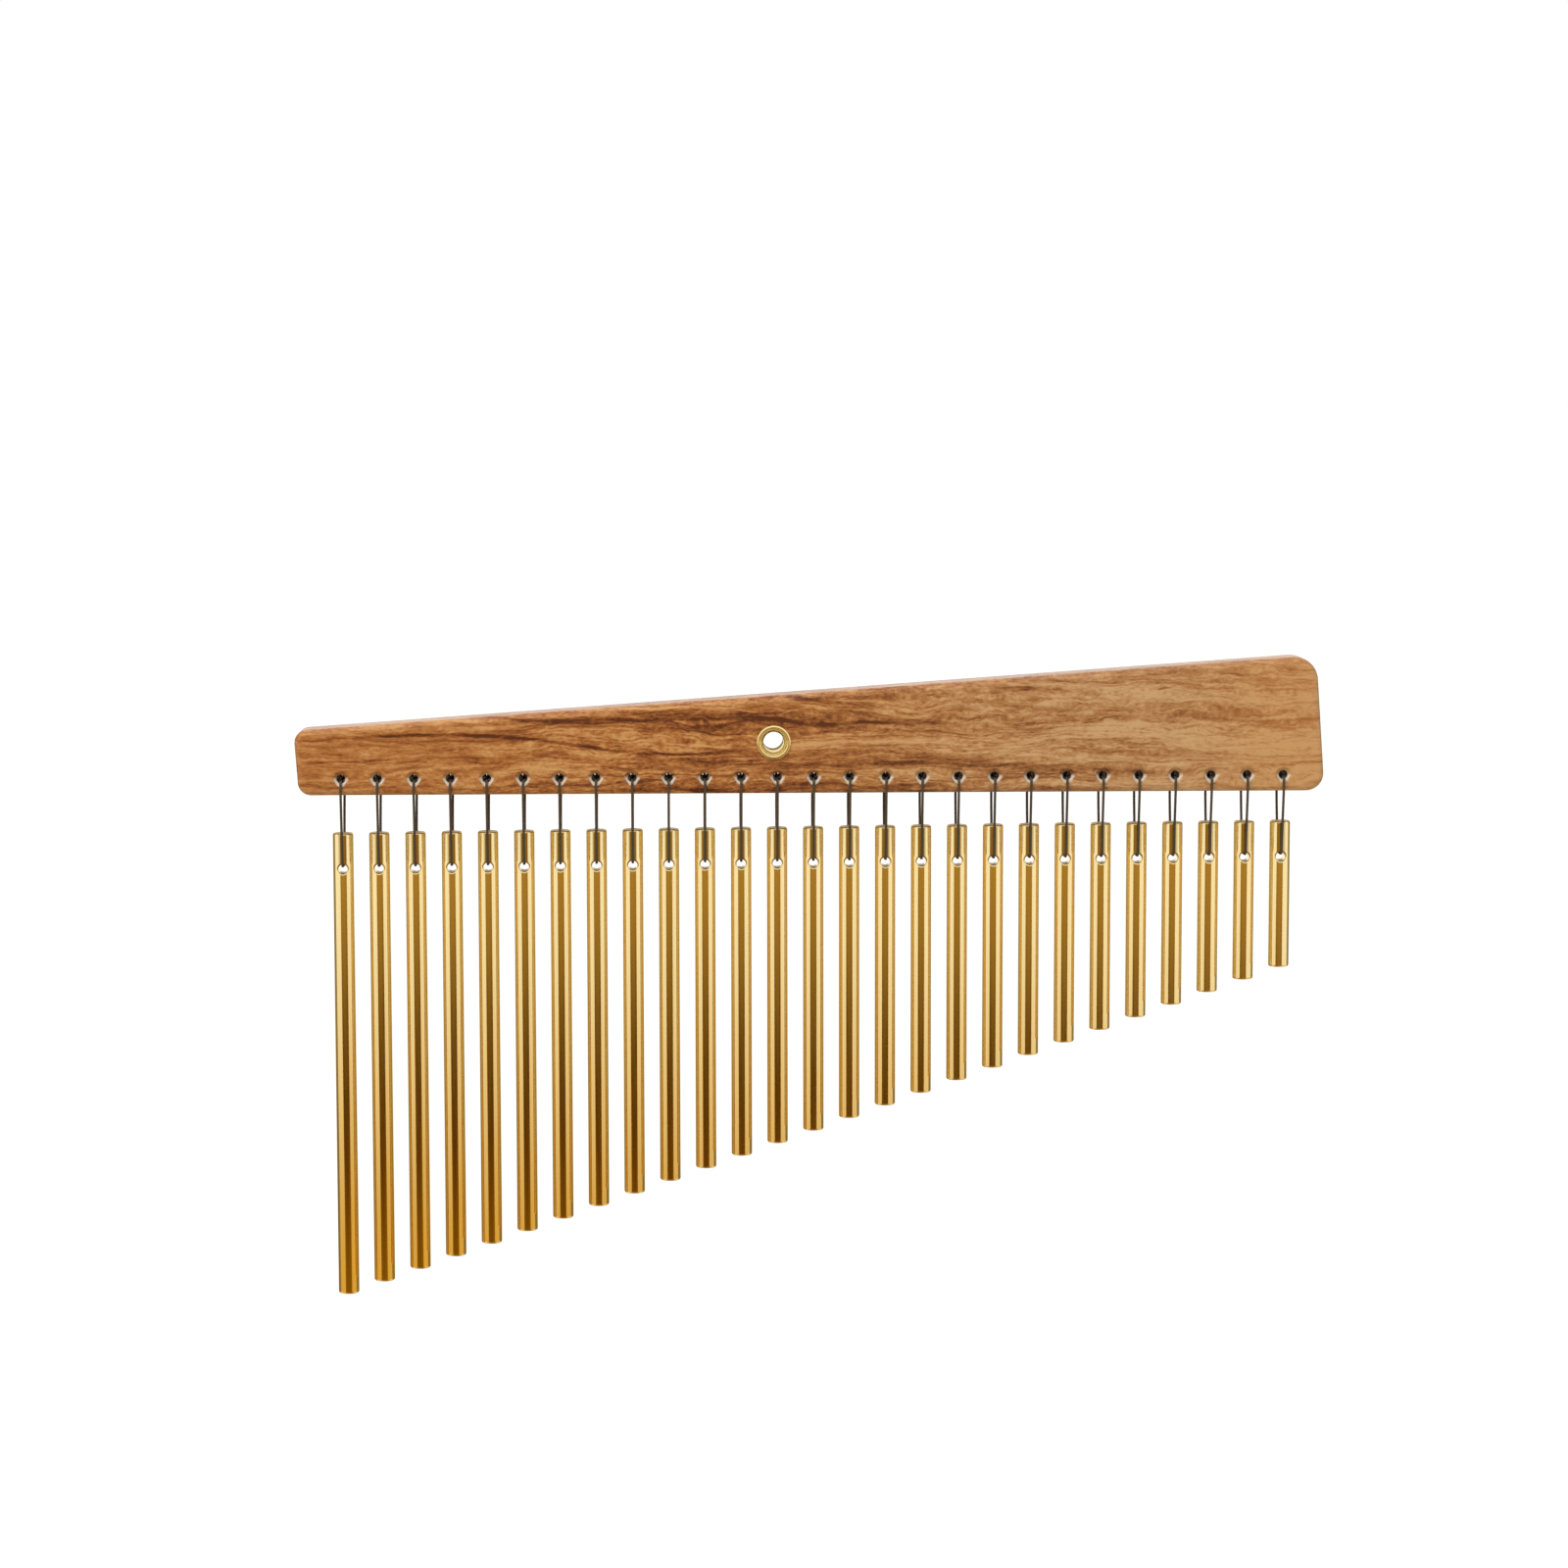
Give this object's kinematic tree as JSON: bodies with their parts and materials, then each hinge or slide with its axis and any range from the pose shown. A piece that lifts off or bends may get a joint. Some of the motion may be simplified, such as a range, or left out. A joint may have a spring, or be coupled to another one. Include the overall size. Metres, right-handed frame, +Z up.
{
  "type": "bar chimes",
  "caption": "Row of graded metal bars, each hung on a cord loop from a tapered wooden mantle, that ring when stroked; hangs from a stand by a brass eyelet in the mantle.",
  "frame": {"origin": "centre of the hang eyelet's bore, half-way through the mantle's thickness", "axes": "+X along the row from the longest bar to the shortest, +Y to the rear along the hang bore, +Z up"},
  "size_m": [0.4684, 0.0232, 0.2927],
  "materials": {
    "wood": "clear satin lacquer over straight-grained hardwood",
    "gold_bar": "polished, gold anodised",
    "brass": "polished",
    "cord": "braided synthetic cord"
  },
  "bodies": {
    "mantle": {"mantle": "wood", "hang_eyelet": "brass", "eyelet_washer": "brass"},
    "loop_01": {"cord_loop_01": "cord"},
    "bar_01": {"chime_bar_01": "gold_bar"},
    "loop_02": {"cord_loop_02": "cord"},
    "bar_02": {"chime_bar_02": "gold_bar"},
    "loop_03": {"cord_loop_03": "cord"},
    "bar_03": {"chime_bar_03": "gold_bar"},
    "loop_04": {"cord_loop_04": "cord"},
    "bar_04": {"chime_bar_04": "gold_bar"},
    "loop_05": {"cord_loop_05": "cord"},
    "bar_05": {"chime_bar_05": "gold_bar"},
    "loop_06": {"cord_loop_06": "cord"},
    "bar_06": {"chime_bar_06": "gold_bar"},
    "loop_07": {"cord_loop_07": "cord"},
    "bar_07": {"chime_bar_07": "gold_bar"},
    "loop_08": {"cord_loop_08": "cord"},
    "bar_08": {"chime_bar_08": "gold_bar"},
    "loop_09": {"cord_loop_09": "cord"},
    "bar_09": {"chime_bar_09": "gold_bar"},
    "loop_10": {"cord_loop_10": "cord"},
    "bar_10": {"chime_bar_10": "gold_bar"},
    "loop_11": {"cord_loop_11": "cord"},
    "bar_11": {"chime_bar_11": "gold_bar"},
    "loop_12": {"cord_loop_12": "cord"},
    "bar_12": {"chime_bar_12": "gold_bar"},
    "loop_13": {"cord_loop_13": "cord"},
    "bar_13": {"chime_bar_13": "gold_bar"},
    "loop_14": {"cord_loop_14": "cord"},
    "bar_14": {"chime_bar_14": "gold_bar"},
    "loop_15": {"cord_loop_15": "cord"},
    "bar_15": {"chime_bar_15": "gold_bar"},
    "loop_16": {"cord_loop_16": "cord"},
    "bar_16": {"chime_bar_16": "gold_bar"},
    "loop_17": {"cord_loop_17": "cord"},
    "bar_17": {"chime_bar_17": "gold_bar"},
    "loop_18": {"cord_loop_18": "cord"},
    "bar_18": {"chime_bar_18": "gold_bar"},
    "loop_19": {"cord_loop_19": "cord"},
    "bar_19": {"chime_bar_19": "gold_bar"},
    "loop_20": {"cord_loop_20": "cord"},
    "bar_20": {"chime_bar_20": "gold_bar"},
    "loop_21": {"cord_loop_21": "cord"},
    "bar_21": {"chime_bar_21": "gold_bar"},
    "loop_22": {"cord_loop_22": "cord"},
    "bar_22": {"chime_bar_22": "gold_bar"},
    "loop_23": {"cord_loop_23": "cord"},
    "bar_23": {"chime_bar_23": "gold_bar"},
    "loop_24": {"cord_loop_24": "cord"},
    "bar_24": {"chime_bar_24": "gold_bar"},
    "loop_25": {"cord_loop_25": "cord"},
    "bar_25": {"chime_bar_25": "gold_bar"},
    "loop_26": {"cord_loop_26": "cord"},
    "bar_26": {"chime_bar_26": "gold_bar"},
    "loop_27": {"cord_loop_27": "cord"},
    "bar_27": {"chime_bar_27": "gold_bar"}
  },
  "joints": [
    {"name": "sway_01", "type": "hinge", "parent": "mantle", "child": "loop_01", "pos_m": [-0.1963, 0, -0.016], "axis": [0, -1, 0], "range_deg": [-45, 1.62]},
    {"name": "swing_01", "type": "hinge", "parent": "loop_01", "child": "bar_01", "pos_m": [-0.1963, 0, -0.0235], "axis": [-1, 0, 0], "range_deg": [-60, 60], "deforming": ["cord_loop_01"]},
    {"name": "sway_02", "type": "hinge", "parent": "mantle", "child": "loop_02", "pos_m": [-0.1798, 0, -0.016], "axis": [0, -1, 0], "range_deg": [-1.62, 1.66]},
    {"name": "swing_02", "type": "hinge", "parent": "loop_02", "child": "bar_02", "pos_m": [-0.1798, 0, -0.0235], "axis": [-1, 0, 0], "range_deg": [-60, 60], "deforming": ["cord_loop_02"]},
    {"name": "sway_03", "type": "hinge", "parent": "mantle", "child": "loop_03", "pos_m": [-0.1633, 0, -0.016], "axis": [0, -1, 0], "range_deg": [-1.66, 1.7]},
    {"name": "swing_03", "type": "hinge", "parent": "loop_03", "child": "bar_03", "pos_m": [-0.1633, 0, -0.0235], "axis": [-1, 0, 0], "range_deg": [-60, 60], "deforming": ["cord_loop_03"]},
    {"name": "sway_04", "type": "hinge", "parent": "mantle", "child": "loop_04", "pos_m": [-0.1468, 0, -0.016], "axis": [0, -1, 0], "range_deg": [-1.7, 1.74]},
    {"name": "swing_04", "type": "hinge", "parent": "loop_04", "child": "bar_04", "pos_m": [-0.1468, 0, -0.0235], "axis": [-1, 0, 0], "range_deg": [-60, 60], "deforming": ["cord_loop_04"]},
    {"name": "sway_05", "type": "hinge", "parent": "mantle", "child": "loop_05", "pos_m": [-0.1303, 0, -0.016], "axis": [0, -1, 0], "range_deg": [-1.75, 1.79]},
    {"name": "swing_05", "type": "hinge", "parent": "loop_05", "child": "bar_05", "pos_m": [-0.1303, 0, -0.0235], "axis": [-1, 0, 0], "range_deg": [-60, 60], "deforming": ["cord_loop_05"]},
    {"name": "sway_06", "type": "hinge", "parent": "mantle", "child": "loop_06", "pos_m": [-0.1138, 0, -0.016], "axis": [0, -1, 0], "range_deg": [-1.79, 1.84]},
    {"name": "swing_06", "type": "hinge", "parent": "loop_06", "child": "bar_06", "pos_m": [-0.1138, 0, -0.0235], "axis": [-1, 0, 0], "range_deg": [-60, 60], "deforming": ["cord_loop_06"]},
    {"name": "sway_07", "type": "hinge", "parent": "mantle", "child": "loop_07", "pos_m": [-0.0973, 0, -0.016], "axis": [0, -1, 0], "range_deg": [-1.85, 1.9]},
    {"name": "swing_07", "type": "hinge", "parent": "loop_07", "child": "bar_07", "pos_m": [-0.0973, 0, -0.0235], "axis": [-1, 0, 0], "range_deg": [-60, 60], "deforming": ["cord_loop_07"]},
    {"name": "sway_08", "type": "hinge", "parent": "mantle", "child": "loop_08", "pos_m": [-0.0808, 0, -0.016], "axis": [0, -1, 0], "range_deg": [-1.9, 1.95]},
    {"name": "swing_08", "type": "hinge", "parent": "loop_08", "child": "bar_08", "pos_m": [-0.0808, 0, -0.0235], "axis": [-1, 0, 0], "range_deg": [-60, 60], "deforming": ["cord_loop_08"]},
    {"name": "sway_09", "type": "hinge", "parent": "mantle", "child": "loop_09", "pos_m": [-0.0643, 0, -0.016], "axis": [0, -1, 0], "range_deg": [-1.96, 2.01]},
    {"name": "swing_09", "type": "hinge", "parent": "loop_09", "child": "bar_09", "pos_m": [-0.0643, 0, -0.0235], "axis": [-1, 0, 0], "range_deg": [-60, 60], "deforming": ["cord_loop_09"]},
    {"name": "sway_10", "type": "hinge", "parent": "mantle", "child": "loop_10", "pos_m": [-0.0478, 0, -0.016], "axis": [0, -1, 0], "range_deg": [-2.02, 2.08]},
    {"name": "swing_10", "type": "hinge", "parent": "loop_10", "child": "bar_10", "pos_m": [-0.0478, 0, -0.0235], "axis": [-1, 0, 0], "range_deg": [-60, 60], "deforming": ["cord_loop_10"]},
    {"name": "sway_11", "type": "hinge", "parent": "mantle", "child": "loop_11", "pos_m": [-0.0313, 0, -0.016], "axis": [0, -1, 0], "range_deg": [-2.08, 2.14]},
    {"name": "swing_11", "type": "hinge", "parent": "loop_11", "child": "bar_11", "pos_m": [-0.0313, 0, -0.0235], "axis": [-1, 0, 0], "range_deg": [-60, 60], "deforming": ["cord_loop_11"]},
    {"name": "sway_12", "type": "hinge", "parent": "mantle", "child": "loop_12", "pos_m": [-0.0148, 0, -0.016], "axis": [0, -1, 0], "range_deg": [-2.15, 2.22]},
    {"name": "swing_12", "type": "hinge", "parent": "loop_12", "child": "bar_12", "pos_m": [-0.0148, 0, -0.0235], "axis": [-1, 0, 0], "range_deg": [-60, 60], "deforming": ["cord_loop_12"]},
    {"name": "sway_13", "type": "hinge", "parent": "mantle", "child": "loop_13", "pos_m": [0.0017, 0, -0.016], "axis": [0, -1, 0], "range_deg": [-2.22, 2.29]},
    {"name": "swing_13", "type": "hinge", "parent": "loop_13", "child": "bar_13", "pos_m": [0.0017, 0, -0.0235], "axis": [-1, 0, 0], "range_deg": [-60, 60], "deforming": ["cord_loop_13"]},
    {"name": "sway_14", "type": "hinge", "parent": "mantle", "child": "loop_14", "pos_m": [0.0182, 0, -0.016], "axis": [0, -1, 0], "range_deg": [-2.3, 2.38]},
    {"name": "swing_14", "type": "hinge", "parent": "loop_14", "child": "bar_14", "pos_m": [0.0182, 0, -0.0235], "axis": [-1, 0, 0], "range_deg": [-60, 60], "deforming": ["cord_loop_14"]},
    {"name": "sway_15", "type": "hinge", "parent": "mantle", "child": "loop_15", "pos_m": [0.0347, 0, -0.016], "axis": [0, -1, 0], "range_deg": [-2.38, 2.47]},
    {"name": "swing_15", "type": "hinge", "parent": "loop_15", "child": "bar_15", "pos_m": [0.0347, 0, -0.0235], "axis": [-1, 0, 0], "range_deg": [-60, 60], "deforming": ["cord_loop_15"]},
    {"name": "sway_16", "type": "hinge", "parent": "mantle", "child": "loop_16", "pos_m": [0.0512, 0, -0.016], "axis": [0, -1, 0], "range_deg": [-2.47, 2.56]},
    {"name": "swing_16", "type": "hinge", "parent": "loop_16", "child": "bar_16", "pos_m": [0.0512, 0, -0.0235], "axis": [-1, 0, 0], "range_deg": [-60, 60], "deforming": ["cord_loop_16"]},
    {"name": "sway_17", "type": "hinge", "parent": "mantle", "child": "loop_17", "pos_m": [0.0677, 0, -0.016], "axis": [0, -1, 0], "range_deg": [-2.57, 2.67]},
    {"name": "swing_17", "type": "hinge", "parent": "loop_17", "child": "bar_17", "pos_m": [0.0677, 0, -0.0235], "axis": [-1, 0, 0], "range_deg": [-60, 60], "deforming": ["cord_loop_17"]},
    {"name": "sway_18", "type": "hinge", "parent": "mantle", "child": "loop_18", "pos_m": [0.0842, 0, -0.016], "axis": [0, -1, 0], "range_deg": [-2.68, 2.78]},
    {"name": "swing_18", "type": "hinge", "parent": "loop_18", "child": "bar_18", "pos_m": [0.0842, 0, -0.0235], "axis": [-1, 0, 0], "range_deg": [-60, 60], "deforming": ["cord_loop_18"]},
    {"name": "sway_19", "type": "hinge", "parent": "mantle", "child": "loop_19", "pos_m": [0.1007, 0, -0.016], "axis": [0, -1, 0], "range_deg": [-2.79, 2.9]},
    {"name": "swing_19", "type": "hinge", "parent": "loop_19", "child": "bar_19", "pos_m": [0.1007, 0, -0.0235], "axis": [-1, 0, 0], "range_deg": [-60, 60], "deforming": ["cord_loop_19"]},
    {"name": "sway_20", "type": "hinge", "parent": "mantle", "child": "loop_20", "pos_m": [0.1172, 0, -0.016], "axis": [0, -1, 0], "range_deg": [-2.91, 3.04]},
    {"name": "swing_20", "type": "hinge", "parent": "loop_20", "child": "bar_20", "pos_m": [0.1172, 0, -0.0235], "axis": [-1, 0, 0], "range_deg": [-60, 60], "deforming": ["cord_loop_20"]},
    {"name": "sway_21", "type": "hinge", "parent": "mantle", "child": "loop_21", "pos_m": [0.1337, 0, -0.016], "axis": [0, -1, 0], "range_deg": [-3.05, 3.19]},
    {"name": "swing_21", "type": "hinge", "parent": "loop_21", "child": "bar_21", "pos_m": [0.1337, 0, -0.0235], "axis": [-1, 0, 0], "range_deg": [-60, 60], "deforming": ["cord_loop_21"]},
    {"name": "sway_22", "type": "hinge", "parent": "mantle", "child": "loop_22", "pos_m": [0.1502, 0, -0.016], "axis": [0, -1, 0], "range_deg": [-3.2, 3.35]},
    {"name": "swing_22", "type": "hinge", "parent": "loop_22", "child": "bar_22", "pos_m": [0.1502, 0, -0.0235], "axis": [-1, 0, 0], "range_deg": [-60, 60], "deforming": ["cord_loop_22"]},
    {"name": "sway_23", "type": "hinge", "parent": "mantle", "child": "loop_23", "pos_m": [0.1667, 0, -0.016], "axis": [0, -1, 0], "range_deg": [-3.36, 3.53]},
    {"name": "swing_23", "type": "hinge", "parent": "loop_23", "child": "bar_23", "pos_m": [0.1667, 0, -0.0235], "axis": [-1, 0, 0], "range_deg": [-60, 60], "deforming": ["cord_loop_23"]},
    {"name": "sway_24", "type": "hinge", "parent": "mantle", "child": "loop_24", "pos_m": [0.1832, 0, -0.016], "axis": [0, -1, 0], "range_deg": [-3.54, 3.73]},
    {"name": "swing_24", "type": "hinge", "parent": "loop_24", "child": "bar_24", "pos_m": [0.1832, 0, -0.0235], "axis": [-1, 0, 0], "range_deg": [-60, 60], "deforming": ["cord_loop_24"]},
    {"name": "sway_25", "type": "hinge", "parent": "mantle", "child": "loop_25", "pos_m": [0.1997, 0, -0.016], "axis": [0, -1, 0], "range_deg": [-3.75, 3.95]},
    {"name": "swing_25", "type": "hinge", "parent": "loop_25", "child": "bar_25", "pos_m": [0.1997, 0, -0.0235], "axis": [-1, 0, 0], "range_deg": [-60, 60], "deforming": ["cord_loop_25"]},
    {"name": "sway_26", "type": "hinge", "parent": "mantle", "child": "loop_26", "pos_m": [0.2162, 0, -0.016], "axis": [0, -1, 0], "range_deg": [-3.98, 4.2]},
    {"name": "swing_26", "type": "hinge", "parent": "loop_26", "child": "bar_26", "pos_m": [0.2162, 0, -0.0235], "axis": [-1, 0, 0], "range_deg": [-60, 60], "deforming": ["cord_loop_26"]},
    {"name": "sway_27", "type": "hinge", "parent": "mantle", "child": "loop_27", "pos_m": [0.2327, 0, -0.016], "axis": [0, -1, 0], "range_deg": [-4.23, 45]},
    {"name": "swing_27", "type": "hinge", "parent": "loop_27", "child": "bar_27", "pos_m": [0.2327, 0, -0.0235], "axis": [-1, 0, 0], "range_deg": [-60, 60], "deforming": ["cord_loop_27"]}
  ]
}
